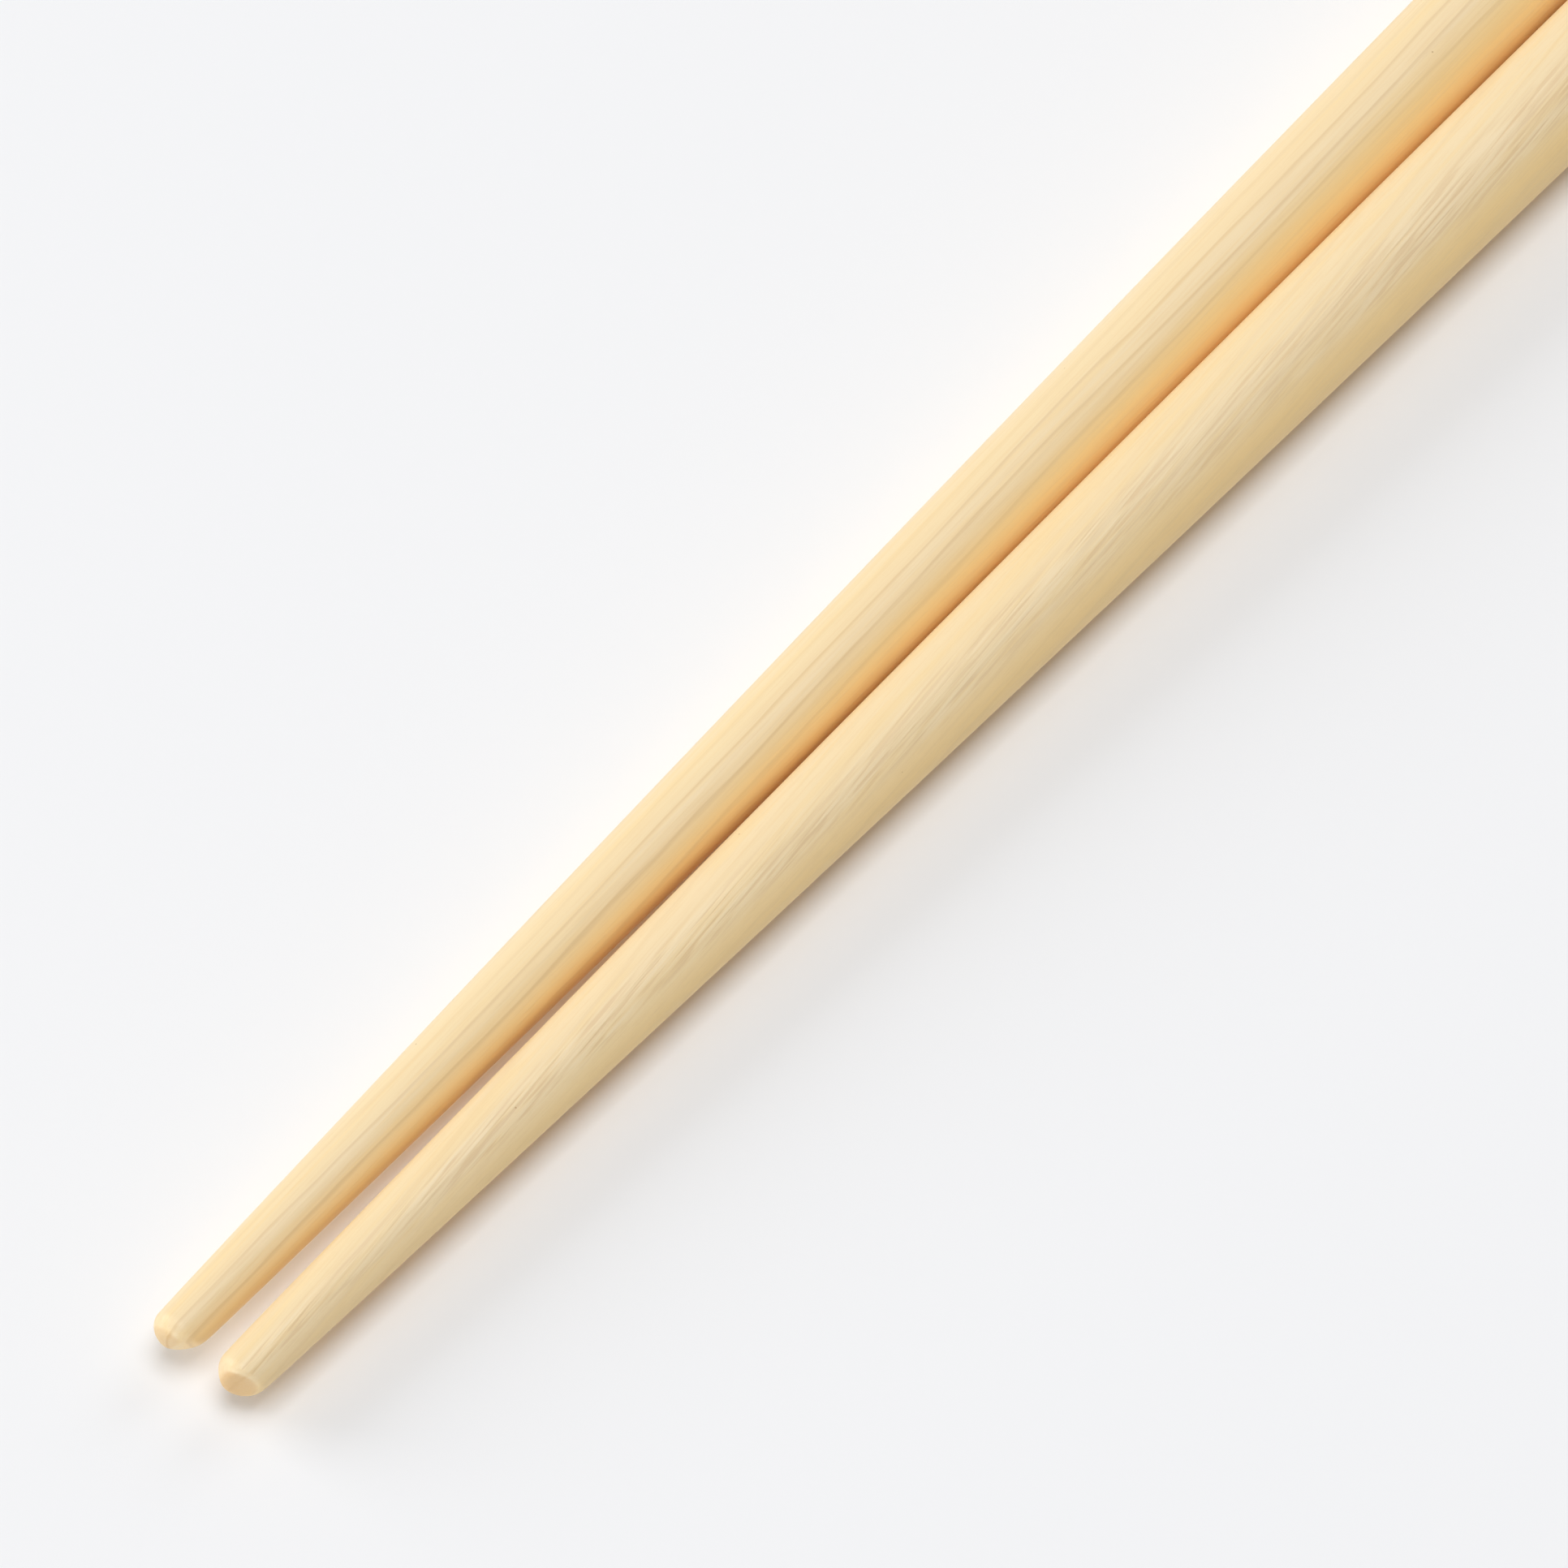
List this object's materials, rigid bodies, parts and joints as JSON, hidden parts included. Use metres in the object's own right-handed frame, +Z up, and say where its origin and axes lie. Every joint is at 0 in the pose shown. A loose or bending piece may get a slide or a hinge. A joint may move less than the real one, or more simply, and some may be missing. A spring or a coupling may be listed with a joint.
{
  "type": "pair of round tapered chopsticks",
  "caption": "Pair of round wooden chopsticks, laid side by side: slim rounded tips, a long bowed taper and a straight grip end with an eased flat butt.",
  "frame": {"origin": "on the table, under the middle of the box round the resting pair", "axes": "+X from the tips towards the butts, +Y from the fixed chopstick towards the moving one, +Z up"},
  "size_m": [0.23, 0.0182, 0.0084],
  "materials": {
    "bare_softwood": "sanded, no oil or lacquer"
  },
  "bodies": {
    "fixed_chopstick": {"fixed_chopstick": "bare_softwood"},
    "moving_chopstick": {"moving_chopstick": "bare_softwood"}
  },
  "joints": [
    {"name": "pinch", "type": "hinge", "parent": "fixed_chopstick", "child": "moving_chopstick", "pos_m": [0.11497, 0.0001, 0], "axis": [0, 0, -1], "range_deg": [0, 15]}
  ]
}
